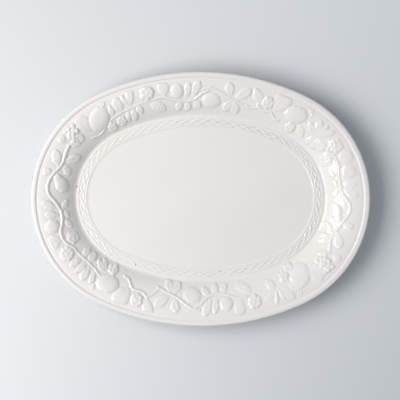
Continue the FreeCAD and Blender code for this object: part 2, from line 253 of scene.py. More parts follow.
def handCut(x, y):
    # edges that a carver's hand left a little uneven
    sway = pattern["sway"]
    right = np.sin(y * 1.13 + x * 0.31 + 0.4) + 0.7 * np.sin(x * 0.83 - y * 0.47 + 2.1)
    back = np.sin(x * 1.07 - y * 0.29 + 1.3) + 0.7 * np.sin(y * 0.79 + x * 0.53 + 0.2)
    return x + sway * right, y + sway * back


def spot(along, across):
    # a place in the pattern: how far it is along the rim and inward from the edge
    x, y = oval.place(np.array(along / pattern["length"] / 2), np.array(float(across)))
    return np.array([float(x), float(y)])


class Relief:
    # heights over the rim, all the way round, with a little overlap at each end
    def __init__(self, insets, columns):
        self.margin = columns // 16
        self.step = 2 * pattern["length"] / columns
        self.along = np.arange(-self.margin, columns + self.margin) * self.step
        self.insets = insets
        along, inset = np.meshgrid(self.along, insets)
        x, y = oval.place(along / pattern["length"] / 2, inset)
        self.x, self.y = handCut(x, y)
        self.height = np.zeros_like(self.x)

    def window(self, along, across, reach):
        wide = reach * 1.4  # nearer the well the same reach takes up more of the pattern
        first, last = np.searchsorted(self.along, (along - wide, along + wide))
        top, bottom = np.searchsorted(self.insets, (across - reach, across + reach))
        return slice(top, bottom), slice(first, last)

    def frame(self, stalk, tip, reach):
        # distances ahead of the stalk and to the left of the line to the tip
        start, end = spot(*stalk), spot(*tip)
        long = float(np.linalg.norm(end - start))
        ahead = (end - start) / long
        area = self.window((stalk[0] + tip[0]) / 2, (stalk[1] + tip[1]) / 2, long / 2 + reach)
        x, y = self.x[area] - start[0], self.y[area] - start[1]
        return area, x * ahead[0] + y * ahead[1], x * -ahead[1] + y * ahead[0], long

    def around(self, centre, reach):
        # distances and directions from a flower's middle
        area, ahead, left, _ = self.frame(centre, (centre[0], centre[1] - 1), reach)
        return area, np.hypot(ahead, left), np.arctan2(left, ahead)

    def join(self, area, height, blend=None):
        self.height[area] = smoothMax(height, self.height[area], blend or pattern["blend"])

    def closed(self):
        # the overlaps are laid over the other end
        lap = self.margin
        before, core, after = np.split(self.height, [lap, -lap], 1)
        core[:, -lap:] = np.maximum(core[:, -lap:], before)
        core[:, :lap] = np.maximum(core[:, :lap], after)
        return core


def pillow(q, flat=3.0):
    # a flat middle and a rounded edge, where q is 1
    return np.clip(1 - np.clip(q, 0, 1) ** flat, 0, 1) ** pattern["roundness"]


leaf = {
    "rises": (0, 0.45),  # from half its height, over this share of its length
    "crease": 0.07,
    "creaseFades": (0.95, 0.5),
    "veinDepth": 0.24,
    "veinLean": 0.8,
    "veinStarts": (0.05, 0.3),
}


def drawLeaf(relief, stalk, tip, wide, rise=1.2, fullest=1.0, blunt=0.6, flat=3.0, curl=0.0,
             veins=0, fold=0.25):
    area, ahead, left, long = relief.frame(stalk, tip, wide)
    t = np.clip(ahead / long, 0, 1)
    left = left - curl * wide * 4 * t * (1 - t)
    half = wide / 2 * np.sin(math.pi * t ** fullest) ** blunt + 1e-6
    q = np.abs(left) / half
    body = pillow(q, flat)
    height = rise * (0.5 + 0.5 * smoothStep(*leaf["rises"], t)) * body
    crease = np.exp(-(left / (leaf["crease"] * wide)) ** 2) * smoothStep(*leaf["creaseFades"], t)
    height -= fold * rise * crease * body
    if veins:
        ribs = 0.5 + 0.5 * np.cos(2 * math.pi * (t * veins - q * leaf["veinLean"]))
        height -= leaf["veinDepth"] * rise * ribs * smoothStep(*leaf["veinStarts"], q) * body
    inside = (ahead > 0) & (ahead < long)
    relief.join(area, np.where(inside, height, 0))


dome = {"flat": 0.8, "round": 0.2, "ribDepth": 0.2}


def drawDome(relief, stalk, tip, wide, rise, ribs=0):
    area, ahead, left, long = relief.frame(stalk, tip, wide)
    middle = ahead - long / 2
    q = np.hypot(middle / (long / 2), left / (wide / 2))
    ball = np.sqrt(np.clip(1 - q ** 2, 0, 1))
    height = rise * (dome["flat"] * pillow(q) + dome["round"] * ball)
    if ribs:
        rib = 0.5 + 0.5 * np.cos(2 * math.pi * (ahead / long * ribs - (left / wide) ** 2))
        height -= dome["ribDepth"] * rise * rib ** 2 * pillow(q)
    relief.join(area, height)


crown = {"points": 5, "reach": 1.4, "star": (0.72, 0.28), "hollow": (0.6, 0.25)}


def drawCrown(relief, centre, radius, rise):
    # the small dried blossom at an apple's end
    area, distance, angle = relief.around(centre, radius * crown["reach"])
    even, swing = crown["star"]
    star = radius * (even + swing * np.cos(crown["points"] * angle))
    height = rise * np.clip(1 - (distance / star) ** 2, 0, 1) ** 0.5
    depth, spread = crown["hollow"]
    height -= rise * depth * np.exp(-(distance / (radius * spread)) ** 2)
    relief.join(area, height, pattern["flowerBlend"])


blossom = {
    "seed": 7,
    "reach": 1.3,
    "unevenLong": 0.1,
    "unevenHigh": 0.2,
    "rounded": (0.16, 4),
    "parted": (0.3, 5),  # the grooves between the petals
    "partedFrom": (0.2, 0.6),
    "flat": 3.5,
    "cup": (0.84, 0.16),  # the petals are lower in the middle
    "cupRises": (0.1, 0.75),
    "button": 1.02,
    "moat": (0.16, 1.1, 0.3),  # round the button
}


def drawBlossom(relief, centre, radius, petals, rise, eye, turned):
    # petals of uneven size round a button
    area, distance, angle = relief.around(centre, radius * blossom["reach"])
    share = np.mod((angle + turned) * petals / (2 * math.pi), petals)
    seed = int(centre[0] * blossom["seed"])
    longer, higher = np.random.default_rng(seed).uniform(-1, 1, (2, petals))
    number = np.clip(share.astype(int), 0, petals - 1)
    within = np.abs(share - number - 0.5) * 2
    depth, power = blossom["rounded"]
    edge = radius * (1 + blossom["unevenLong"] * longer[number]) * (1 - depth * within ** power)
    q = distance / edge
    depth, power = blossom["parted"]
    crest = (1 + blossom["unevenHigh"] * higher[number]
             - depth * within ** power * smoothStep(*blossom["partedFrom"], q))
    low, more = blossom["cup"]
    height = (rise * pillow(q, blossom["flat"]) * crest
              * (low + more * smoothStep(*blossom["cupRises"], q)))
    button = rise * blossom["button"] * np.sqrt(np.clip(1 - (distance / eye) ** 2, 0, 1))
    depth, ring, spread = blossom["moat"]
    moat = rise * depth * np.exp(-((distance - eye * ring) / (spread * eye)) ** 2)
    relief.join(area, smoothMax(height - moat, button, pattern["flowerBlend"]))


rose = {
    "reach": 1.2,
    "outline": (0.93, 0.07, 5),
    "turns": 2.1,
    "fold": 0.3,  # each petal falls by this share, then rises over the next
    "falls": (0.0, 0.7),
    "rises": (0.82, 1.0),
}


def drawRose(relief, centre, radius, rise):
    # petals folded round each other as a spiral
    area, distance, angle = relief.around(centre, radius * rose["reach"])
    even, swing, corners = rose["outline"]
    q = distance / (radius * (even + swing * np.cos(corners * angle)))
    wave = np.mod(q * rose["turns"] - angle / (2 * math.pi), 1.0)
    fold = (1 - rose["fold"] * smoothStep(*rose["falls"], wave)
            + rose["fold"] * smoothStep(*rose["rises"], wave))
    relief.join(area, rise * pillow(q) * fold, pattern["flowerBlend"])


cluster = {
    "core": 0.45,  # the fruit under the berries
    "row": 1.6,  # how far apart the rows are, and a berry's radius, in grains
    "berry": 1.1,
    "ball": 0.45,  # how much of a berry stands out
    "top": (0.4, 0.4),
    "nudge": 0.2,
    "margin": 0.04,
    "blend": 0.15,
}


def drawCluster(relief, stalk, tip, wide, rise, grain):
    # berries side by side in rows that lie between each other
    area, ahead, left, long = relief.frame(stalk, tip, wide)
    middle = ahead - long / 2
    q = (middle / (long / 2)) ** 2 + (left / (wide / 2)) ** 2
    rowStep = grain * cluster["row"]
    height = cluster["core"] * rise * np.clip(1 - q, 0, 1) ** 0.5
    rows = int(long / 2 // rowStep) + 1
    seeds = int(wide / 2 // (2 * grain)) + 1
    low, more = cluster["top"]
    uneven = np.random.default_rng(int(stalk[0]))
    for row in range(-rows, rows + 1):
        place = row * rowStep
        shift = (row % 2) * 0.5
        for seed in range(-seeds, seeds + 1):
            side = (seed + shift) * 2 * grain
            inside = 1 - (place / (long / 2)) ** 2 - (side / (wide / 2)) ** 2
            if inside < cluster["margin"]:
                continue
            nudge = uneven.normal(0, cluster["nudge"] * grain, 3)
            distance = (np.hypot(middle - place - nudge[0], left - side - nudge[1])
                        / (grain * cluster["berry"]))
            top = rise * (low + more * math.sqrt(inside)) + nudge[2] * 0.5
            sunk = np.sqrt(np.clip(1 - distance ** 2, 0, 1)) - cluster["ball"]
            ball = top + cluster["ball"] * grain * sunk
            height = np.where(distance < 1, np.maximum(height, ball), height)
    relief.join(area, np.where(q < 1.5, height, 0), cluster["blend"])


def drawStem(relief, points, radius):
    # points are the places that the stem runs through
    line = throughPoints(points, pattern["vineStep"])
    sink = pattern["vineSink"] * radius
    spots = [spot(*place) for place in line]
    for k in range(len(line) - 1):
        start, end = spots[k], spots[k + 1]
        area = relief.window((line[k][0] + line[k + 1][0]) / 2, (line[k][1] + line[k + 1][1]) / 2,
                             radius * 1.6)
        x, y = relief.x[area] - start[0], relief.y[area] - start[1]
        run = end - start
        t = np.clip((x * run[0] + y * run[1]) / (run @ run), 0, 1)
        distance = np.hypot(x - t * run[0], y - t * run[1])
        height = np.sqrt(np.clip(radius ** 2 - distance ** 2, 0, None)) - sink
        relief.height[area] = np.maximum(relief.height[area], np.clip(height, 0, None))


# Sprigs: (along, across) of the stalk and of the tip, then the width and what shapes them
petal = {"fullest": 1.5}
pointed = {"fullest": 0.9, "blunt": 0.7}
rounded = {"fullest": 1.1, "blunt": 0.5, "fold": 0.15}

garland = {
    "leaves": [
        ((12.5, 29), (4.5, 10), 10.5, petal), ((19.5, 30), (15.5, 12), 8.5, petal),
        ((44, 24.5), (43.5, 6.5), 13.5, {**rounded, "fold": 0.0}),
        ((141, 30), (139, 8.5), 17.5, {**rounded, "rise": 1.0}),
        ((167, 18.5), (167, 8.5), 9, rounded),
        ((196.5, 24.5), (179.5, 13.5), 11.5, {**petal, "flat": 4.0, "fold": 0.0}),
        ((188.5, 28.5), (173, 41.5), 11.5, petal),
        ((190, 28.5), (201.5, 38.5), 9.5, {**petal, "veins": 3}),
        ((203.5, 20), (204, 7.5), 8.5, rounded),
        ((244.5, 28), (236, 12), 9.5, petal), ((252.5, 29), (248.5, 14.5), 8.5, petal),
        ((279.5, 22.5), (279.5, 6.5), 16, {**rounded, "rise": 1.1}),
        ((379, 28.5), (371, 6), 20.5, {"fullest": 1.2, "blunt": 0.5, "fold": 0.1, "rise": 1.4}),
        ((400, 22.5), (411, 6), 12, {"fullest": 0.95, "fold": 0.1}),
        ((428.5, 32), (412.5, 17.5), 12, {**petal, "flat": 3.5}),
        ((433.5, 30), (437, 14), 11, {**petal, "flat": 3.5}),
        ((429.5, 33), (423, 48), 11, petal), ((431, 33.5), (438.5, 46.5), 10.5, petal),
        ((10.5, 32.5), (2.5, 40.5), 8.5, rounded), ((17.5, 33), (18, 43.5), 8.5, rounded),
        ((25, 33), (31, 42), 8.5, rounded),
        ((246.5, 34), (235, 39.5), 7, rounded), ((248, 36.5), (259, 38.5), 5.5, rounded),
        ((259, 34.5), (272.5, 39), 6.5, rounded),
        ((157, 33), (149, 27), 6, pointed), ((158, 33), (166.5, 25.5), 6, pointed),
    ],
    # leaves that only one of the two halves has
    "firstLeaves": [
        ((84, 27.5), (79, 6.5), 9.5, petal), ((85, 27), (90, 11), 5.5, petal),
        ((96.5, 28.5), (96.5, 11.5), 12.5, rounded),
        ((105.5, 30), (105.5, 17.5), 7.5, rounded),
        ((312.5, 30), (309.5, 15), 7.5, petal),
        ((319.5, 31), (318, 13.5), 7.5, {**pointed, "curl": 0.12}),
        ((325, 31), (328.5, 12.5), 10.5, petal), ((335, 29.5), (337.5, 15), 7.5, petal),
        ((76, 27.5), (73, 38.5), 8, rounded), ((82, 30), (83, 44), 8.5, rounded),
        ((88, 31), (91, 42), 6, rounded),
        ((311.5, 32.5), (310.5, 44), 9, rounded), ((321, 33), (321, 45), 10, rounded),
        ((344.5, 34), (329, 41.5), 8, pointed), ((345.5, 36), (335.5, 47), 6.5, pointed),
    ],
    "secondLeaves": [
        ((89, 26), (74.5, 18.5), 8, {**rounded, "rise": 0.8}), ((91, 28), (85.5, 11.5), 4.8, petal),
        ((92, 28), (95.5, 13), 4.8, petal), ((96, 27), (105, 10.5), 12, rounded),
        ((106, 28), (113, 16), 9.5, rounded), ((88.5, 27), (82.5, 39), 10, rounded),
        ((97, 30), (106, 38), 8, {**rounded, "rise": 0.7}),
        ((319.5, 30.5), (310.5, 12), 8.5, petal), ((320.5, 30.5), (319.5, 12.5), 6.2, petal),
        ((322, 31), (328.5, 13.5), 9.5, petal), ((323, 32), (337, 23), 8, petal),
        ((318, 32), (300, 35), 12.5, petal), ((319, 33.5), (310.5, 43.5), 8, petal),
        ((321, 33.5), (322, 44), 8.5, rounded), ((345, 32), (332, 42.5), 9, pointed),
    ],
    # the radius in each half, then the line
    "vines": [
        (1.5, 1.5, [(-6, 21), (0, 23.3), (4, 26.6), (8.5, 30), (13, 32), (19, 32.8), (25, 32),
            (32, 30), (40, 27), (47, 25.2), (54, 25.2)]),
        (1.1, 0, [(54, 25.2), (62, 26), (70, 26.4), (80, 28), (90, 28.8), (100, 30.2), (109, 32.6),
            (115, 34.2), (121, 37.6)]),
        (1.4, 0.9, [(121, 37.6), (127, 40.2), (132, 41), (138, 40.2), (143, 38)]),
        (1.95, 1.9, [(159, 31.5), (163, 26.5), (167.4, 23.9), (175, 24.8), (180.4, 25.7),
            (186, 26.6), (192, 26.6), (196.6, 25), (201, 22.5), (206, 20.4), (212, 18.2),
            (218.5, 17.2), (225, 18.4), (230, 21.5), (235, 25.5), (240, 28.6), (246, 31.4),
            (253, 32.5), (259, 31.6), (264.5, 29.6), (269.5, 27), (275, 25.2), (281, 25.1),
            (286, 26), (290, 27.6), (294, 29.8), (299, 30.8)]),
        (1.4, 0.8, [(299, 30.8), (306, 31), (314, 31.8), (321, 32.2), (326, 31.8), (333, 31),
            (340, 28.8), (345, 27)]),
        (1.6, 1.6, [(370, 38.6), (374.5, 38), (378.5, 34.8), (381.5, 31), (385, 29), (391, 29.2),
            (396, 28.8), (400, 26.6), (403, 23.5)]),
        (1.5, 1.5, [(401, 25), (406, 28), (410, 32), (414, 36.5)]),
        (1.6, 1.4, [(412, 37.6), (419, 36), (426, 33.6), (433, 31.6), (440, 28.6), (446, 24.8),
            (452, 21), (458, 18.8), (463, 18.2)]),
    ],
    "blossoms": [((98.7, 39.3), 6.0, 5, 1.6, 1.9, 0.2), ((112.3, 40.8), 5.8, 5, 1.6, 1.9, 0.6),
                 ((61.5, 17), 8.6, 7, 2.0, 2.8, 0.2), ((391.5, 19), 8.0, 7, 2.0, 2.6, 0.0),
                 ((354, 40.6), 6.6, 5, 1.7, 1.9, 0.3), ((297.5, 20.6), 8.6, 9, 1.9, 3.0, 0.4)],
    "roses": [((285, 35.2), 8.0, 1.7)],
    "raspberries": [((158, 30.5), (153, 8.5), 14.5, 2.1, 2.3)],
    "apples": [((29, 28.8), (29, 12.2), 14.8, 1.9), ((263, 27.4), (263, 10.6), 16, 1.9),
               ((443, 35), (465, 33), 16.5, 1.8),
               ((134, 35), (112, 15), 22.5, 2.3), ((367.5, 28), (342.5, 20), 20, 2.3)],
    "crowns": [((111.5, 12.3), 4.2, 1.3), ((342, 13.6), 4.0, 1.3)],
    "ribbed": [((43.5, 40), (60.5, 29.5), 11.5, 1.3, 5)],
    "pears": [((203.5, 23.8), (214, 31), 9.5, 1.5), ((207.5, 27.2), (224.5, 37.8), 14.5, 2.1)],
    # the second half was pressed from its own mould: (along, shift along, shift across)
    "secondHalf": [
        (0, 0.5, 1), (13, 1, 2.2), (29, 1.5, 3), (44, 1, 2), (62, 1, 3.5), (75, -1, 5),
        (90, -1, 5), (94, 5, -1.5), (107, 5, -3), (113, 1, 3), (122, 0, 4), (140, 0, 3),
        (156, -1.5, 3), (167, 0, 3), (178, -2, 6), (196, -2, 6), (206, 1, 7), (213, 3, 5.5),
        (218, 3.5, 4.5), (230, 3.5, 4.5), (240, 1, 2), (253, 0, -0.6), (263, 2, 1),
        (270, 1, 2.3), (277, 1, 3), (285, 3, 2.4), (292, 1, 2), (298, 0, 0), (310, -2, -2),
        (330, -2, -2), (345, 0, -1), (372, 0, -1), (385, -1.5, 3), (404, -4, 5), (409, -4, 5),
        (412, -1.5, -4), (440, -1.5, -4), (455, -1, -2), (463, 0.5, 1),
    ],
}


def moved(place, middle):
    # a place in the first half found again in the second, with the rest of its sprig
    at, *shifts = np.array(garland["secondHalf"]).T
    along, across = (np.interp(middle % pattern["length"], at, shift) for shift in shifts)
    return (place[0] + pattern["length"] + along, place[1] + across)


def bothHalves(places):
    middle = sum(place[0] for place in places) / len(places)
    return [places, [moved(place, middle) for place in places]]


def drawGarland(insets, columns):
    relief = Relief(insets, columns)
    for radius, secondRadius, points in garland["vines"]:
        drawStem(relief, points, radius)
        if secondRadius:
            drawStem(relief, [moved(place, place[0]) for place in points], secondRadius)
    for kind, shift in (("firstLeaves", 0), ("secondLeaves", pattern["length"])):
        for stalk, tip, wide, form in garland[kind]:
            drawLeaf(relief, (stalk[0] + shift, stalk[1]), (tip[0] + shift, tip[1]), wide, **form)
    for draw, kind in ((drawLeaf, "leaves"), (drawCluster, "raspberries"), (drawDome, "ribbed"),
                       (drawDome, "pears"), (drawDome, "apples")):
        for stalk, tip, wide, *form in garland[kind]:
            settings = form.pop() if kind == "leaves" else {}
            for places in bothHalves([stalk, tip]):
                draw(relief, *places, wide, *form, **settings)
    for draw, kind in ((drawBlossom, "blossoms"), (drawRose, "roses"), (drawCrown, "crowns")):
        for centre, *form in garland[kind]:
            for places in bothHalves([centre]):
                draw(relief, places[0], *form)
    soft = pattern["softness"]
    heights = blur(relief.closed(), soft / mesh["garlandStep"], soft / relief.step)
    even, swing = pattern["depth"]
    turn = np.arange(columns) / columns
    worn, middle, spread = pattern["worn"]
    depth = even + swing * np.sin(2 * math.pi * turn) - worn * swell(turn, middle, spread)
    shallow, middle, spread = pattern["shallow"]
    outer = smoothStep(*pattern["shallowInsets"], insets)[:, None]
    depth = depth * (1 - shallow * swell(turn, middle, spread) * outer)
    return heights * depth * smoothStep(0, pattern["fadeIn"], insets - insets[0])[:, None]


# Plaited band with the verge bead and the two fine borders

band = {
    "hollow": 2.8,  # half the width of the hollow where the slope meets the band
    "vergeFoot": 48.8,  # the verge climbs from here to its crest, then drops
    "vergeCrest": 51.8,
    "vergeRise": 0.5,
    "vergeCurve": 1.6,
    "vergeDrop": (0.95, 1.65),
    "border": 60.8,
    "borderRadius": 1.05,
    "borderSink": 0.74,
    "wellStep": (60.4, 64.2),
    "plaitInset": 56.4,
    "plaitReach": 2.2,
    "crossings": 61,
    "phase": 0.26,
    "strandRadius": 1.45,
    "strandSink": 1.02,
    "weave": 0.08,  # how much the strands rise and dip where they cross
    "crisp": 1.2,  # how sharply the plait came out, and how that varies
    "uneven": 0.16,
    # crisper or softer in places: turn, spread and how much
    "crisper": ((0.93, 0.09, 0.85), (0.22, 0.12, -0.38), (0.63, 0.07, -0.15)),
    "softness": 0.3,  # how far the glaze rounds the band
}


def bandRelief(inset, turn):
    climb = (inset - band["vergeFoot"]) / (band["vergeCrest"] - band["vergeFoot"])
    height = band["vergeRise"] * np.where(climb < 1, np.clip(climb, 0, 1) ** band["vergeCurve"],
                                          1 - smoothStep(*band["vergeDrop"], climb))
    across = inset - band["border"]
    border = np.sqrt(np.clip(band["borderRadius"] ** 2 - across ** 2, 0, None))
    crisp = band["crisp"] + band["uneven"] * (np.sin(turn * 57 + 0.8)
                                              + np.sin(turn * 133 + inset * 0.4))
    for middle, spread, more in band["crisper"]:
        crisp += more * swell(turn, middle, spread)
    height = np.maximum(height, (border - band["borderSink"]) * crisp)
    even = oval.respaced(turn, band["plaitInset"])
    crossing = even * band["crossings"] + band["phase"]
    share = np.sin(math.pi * crossing)
    lean = np.cos(math.pi * crossing)
    pitch = oval.round(band["plaitInset"]) / band["crossings"]
    steep = math.pi * band["plaitReach"] / pitch * lean
    for side in (1, -1):
        gap = inset - band["plaitInset"] - side * band["plaitReach"] * share
        gap = gap / np.sqrt(1 + steep ** 2)
        strand = np.sqrt(np.clip(band["strandRadius"] ** 2 - gap ** 2, 0, None))
        strand = np.where(strand > 0, strand - band["strandSink"] + side * band["weave"] * lean, 0)
        height = np.maximum(height, strand * crisp)
    return height


def addObject(name, data):
    made = bpy.data.objects.new(name, data)
    bpy.context.scene.collection.objects.link(made)
    return made


# Top and edge of the platter as rows of points, from under the edge to the well

lip = {
    # the section as (inset, height): first over the wall's lower face, then against the top
    "edge": [(2.6, 0.0), (1.0, 0.3), (0.3, 1.3), (0.06, 2.9)],
    "top": [(0.15, -2.2), (0.7, -0.75), (1.5, -0.12), (2.5, 0.0), (3.5, -0.06)],
    # past the lip's end: first against the lip's top, then against the rim's
    "fall": [(-0.5, -0.24), (0.1, -0.72)],
    "foot": [(0.7, -0.06), (1.2, -0.26), (1.9, -0.3)],
    "wider": (0.3, 0.75),  # moved inward all round, and more so on the right
    "widerFrom": (0.5, 3.5),
    "widerTo": 1.2,
}


def topRows():
    # each row is (inset, height) on the plain section
    low = slope.under(2)[0][1]
    section = [(inset, low + z) for inset, z in lip["edge"]]
    section += [(inset, lipTop + z) for inset, z in lip["top"]]
    section += [(lipEnd + inset, lipTop + z) for inset, z in lip["fall"]]
    section += [(lipEnd + inset, rimTop + z) for inset, z in lip["foot"]]
    section.append((mesh["lipSection"], float(slope.height(mesh["lipSection"]))))
    garlandInsets = np.arange(mesh["lipSection"], mesh["bandSection"], mesh["garlandStep"])[1:]
    bandInsets = np.arange(mesh["bandSection"], mesh["floorSection"], mesh["bandStep"])
    return throughPoints(section, mesh["lipStep"]), garlandInsets, bandInsets


def bandBase(inset):
    edge, reach = platter["slopeEnd"], band["hollow"]
    level = np.where(inset < edge, slope.height(inset), bandTop)
    rise = slope.height(edge - reach) - bandTop
    hollow = bandTop + rise * ((edge + reach - inset) / (2 * reach)) ** 2
    level = np.where(abs(inset - edge) < reach, hollow, level)
    return level - platter["bandStep"] * smoothStep(*band["wellStep"], inset)


def wobble(x, y):
    # the hand-finished clay is never quite true
    return (0.10 * np.sin(x / 41 + 0.7) * np.cos(y / 33) + 0.07 * np.sin(x / 17 + y / 23 + 1.9)
            + 0.05 * np.cos(x / 11 - y / 13 + 0.4))


lipRows, garlandInsets, bandInsets = topRows()
columns = mesh["columns"]
topInset = np.concatenate([lipRows[:, 0], garlandInsets, bandInsets])
topBase = np.concatenate([lipRows[:, 1], bandBase(garlandInsets), bandBase(bandInsets)])
gridTurn, gridInset = np.meshgrid(np.arange(columns) / columns, topInset)
lipShare = (smoothStep(*lip["widerFrom"], topInset)
            * smoothStep(mesh["lipSection"], lipEnd + lip["widerTo"], topInset))
everywhere, sway = lip["wider"]
gridInset += lipShare[:, None] * (everywhere - sway * np.sin(2 * math.pi * gridTurn))
topX, topY = oval.place(gridTurn, gridInset)
garlandRelief = drawGarland(garlandInsets, columns)
print("garland drawn: relief up to", round(float(garlandRelief.max()), 2), "mm")
garlandRow = len(lipRows)
bandRow = garlandRow + len(garlandInsets)
topRelief = np.zeros_like(topX)
topRelief[garlandRow:bandRow] = garlandRelief * slope.steepness(garlandInsets)[:, None]
topRelief[bandRow:] = blur(bandRelief(gridInset[bandRow:], gridTurn[bandRow:]),
                           band["softness"] / mesh["bandStep"],
                           band["softness"] / mesh["columnStep"])
topZ = topBase[:, None] + topRelief
topZ = topZ + wobble(topX, topY) * smoothStep(0.0, platter["trueEdge"], gridInset)
print("band drawn: relief up to", round(float(topRelief[bandRow:].max()), 2), "mm")


def rowNormals(x, y, z):
    # columns close on themselves
    points = np.stack([x, y, z], -1)
    alongStep = np.roll(points, -1, 1) - np.roll(points, 1, 1)
    rowStep = np.gradient(points, axis=0)
    normals = np.cross(alongStep, rowStep)
    return normals / np.linalg.norm(normals, axis=-1, keepdims=True)


# how far the hollows reach and how deep they are, for the pooled glaze and the painted shade in
# them
poolAndShade = {"reach": 3.0, "depth": 0.35}  # in rows and columns, and in mm


def hollows(relief):
    # 1 in the hollows, where glaze pools and shade is painted into the colour, 0 on open ground,
    # below 0 on ridges
    return np.clip((blur(relief, poolAndShade["reach"], poolAndShade["reach"]) - relief) / poolAndShade["depth"], -1, 1)


topNormals = rowNormals(topX, topY, topZ)
topHollows = hollows(topRelief)


def makeSkin(name, x, y, z, normals, hollow, closed, material):
    # a grid of faces; the rows run one way and the columns the other
    rows, count = x.shape
    spans = count if closed else count - 1
    row, column = np.mgrid[:rows - 1, :spans]
    row = np.stack([row, row, row + 1, row + 1], -1).reshape(-1, 4)
    column = np.stack([column, column + 1, column + 1, column], -1).reshape(-1, 4)
    faces = row * count + column % count
    data = bpy.data.meshes.new(name)
    data.vertices.add(rows * count)
    data.vertices.foreach_set("co", (np.stack([x, y, z], -1) / metre).astype(np.float32).ravel())
    data.loops.add(faces.size)
    data.loops.foreach_set("vertex_index", faces.astype(np.int32).ravel())
    data.polygons.add(len(faces))
    data.polygons.foreach_set("loop_start", np.arange(0, faces.size, 4, dtype=np.int32))
    data.update(calc_edges=True)
    data.polygons.foreach_set("use_smooth", np.ones(len(faces), bool))
    uv = data.uv_layers.new(name="OFBake")
    across = column / spans
    if closed:
        across *= count / (count + 1)
    flat = np.stack([across, row / (rows - 1)], -1)
    uv.uv.foreach_set("vector", flat.astype(np.float32).ravel())
    attribute = data.attributes.new("hollow", "FLOAT", "POINT")
    attribute.data.foreach_set("value", hollow.astype(np.float32).ravel())
    data.normals_split_custom_set_from_vertices(normals.reshape(-1, 3).tolist())
    piece = addObject(name, data)
    data.materials.append(material)
    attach(piece, "root")
    return piece


# Shader helpers

class Value:
    # a number that changes over a surface; sums on it add Math nodes
    def __init__(self, shader, socket):
        self.shader = shader
        self.socket = socket

    def math(self, operation, first, second):
        return self.shader.node("ShaderNodeMath", {"operation": operation}, [first, second])

    def __add__(self, other):
        return self.math("ADD", self, other)

    __radd__ = __add__

    def __mul__(self, other):
        return self.math("MULTIPLY", self, other)

    __rmul__ = __mul__


class Shader:
    def __init__(self, name):
        self.material = bpy.data.materials.new(name)
        self.material.use_nodes = True
        self.tree = self.material.node_tree
        self.tree.nodes.clear()

    def node(self, kind, settings=None, inputs=None, output=0):
        # inputs go by name or by place; a Value is linked, anything else is set
        made = self.tree.nodes.new(kind)
        for key, value in (settings or {}).items():
            setattr(made, key, value)
        pairs = inputs.items() if isinstance(inputs, dict) else enumerate(inputs or [])
        for key, value in pairs:
            if isinstance(value, Value):
                self.tree.links.new(value.socket, made.inputs[key])
            else:
                made.inputs[key].default_value = value
        return Value(self, made.outputs[output]) if made.outputs else None

    def place(self):
        return self.node("ShaderNodeNewGeometry", output="Position")

    def noise(self, scale, detail=2.0, roughness=0.5):
        return self.node("ShaderNodeTexNoise", None,
                         {"Vector": self.place(), "Scale": scale, "Detail": detail,
                          "Roughness": roughness}, "Fac")

    def ranged(self, value, low, high, newLow=0.0, newHigh=1.0):
        return self.node("ShaderNodeMapRange", {"interpolation_type": "SMOOTHSTEP"},
                         {"Value": value, "From Min": low, "From Max": high, "To Min": newLow,
                          "To Max": newHigh})

    def mix(self, factor, first, second):
        return self.node("ShaderNodeMix", {"data_type": "RGBA"},
                         {0: factor, 6: first, 7: second}, 2)

    def finish(self, values):
        shader = self.node("ShaderNodeBsdfPrincipled", None, values)
        self.node("ShaderNodeOutputMaterial", None, {"Surface": shader})
        return self.material


# Glaze

glaze = {
    "white": (0.832, 0.80, 0.776, 1),
    "warm": (0.818, 0.784, 0.75, 1),
    "drift": (9.0, 0.35, 0.65),  # from white to warm: scale and range
    # painted shade and pooled glaze: darker and warmer in the hollows of the relief
    "pooledAndShaded": (0.70, 0.662, 0.62, 1),
    "poolAndShadeRange": (0.1, 0.9, 0.0, 0.6),  # the range of hollows, and how much pooled glaze and painted shade each end gets
    "gloss": 0.1,
    "dull": 0.06,  # how much less glossy it is here and there
    "dullScale": 30.0,
    "rippleScale": 160.0,
    "peelScale": 900.0,
    "peel": 0.25,
    "bump": {"Strength": 0.06, "Distance": 0.001},
    "speck": (0.035, 0.03, 0.025, 1),
    "speckEdge": (0.6, 1.5),
    "speckDark": 0.85,
    "specks": [  # kiln specks: pattern place and radius in mm
        (216.0, 49.3, 0.8), (378.0, 54.5, 0.8), (442.5, 64.5, 0.6), (489.5, 58.5, 0.5),
        (490.0, 5.3, 0.5),
    ],
}


def glazeMaterial():
    shader = Shader("china glaze")
    hollow = shader.node("ShaderNodeAttribute", {"attribute_name": "hollow"}, None, "Fac")
    scale, *drift = glaze["drift"]
    colour = shader.mix(shader.ranged(shader.noise(scale), *drift), glaze["white"],
                        glaze["warm"])
    # painted shade in the hollows of the relief, together with the darker tint of glaze that pools
    # there
    colour = shader.mix(shader.ranged(hollow, *glaze["poolAndShadeRange"]), colour, glaze["pooledAndShaded"])
    core, edge = glaze["speckEdge"]
    for along, across, radius in glaze["specks"]:
        middle = (*spot(along, across) / metre, bandTop / metre)
        distance = shader.node("ShaderNodeVectorMath", {"operation": "DISTANCE"},
                               [shader.place(), middle], "Value")
        size = radius / metre
        mask = shader.ranged(distance, size * core, size * edge, 1.0, 0.0)
        colour = shader.mix(mask * glaze["speckDark"], colour, glaze["speck"])
    ripple = shader.noise(glaze["rippleScale"], 1.0)
    peel = shader.noise(glaze["peelScale"], 1.0)
    bump = shader.node("ShaderNodeBump", None,
                       {**glaze["bump"], "Height": ripple + glaze["peel"] * peel})
    return shader.finish({
        "Base Color": colour,
        "Roughness": shader.noise(glaze["dullScale"]) * glaze["dull"] + glaze["gloss"],
        "IOR": 1.5,
        "Normal": bump,
    })


biscuit = {
    "pale": (0.70, 0.64, 0.55, 1),
    "worn": (0.48, 0.43, 0.37, 1),
    "grimeScale": 55.0,
    "grime": (0.45, 0.75),
    "rough": 0.75,
    "rougher": 0.15,
    "grainScale": 2600.0,
    "bump": {"Strength": 0.35, "Distance": 0.0004},
}


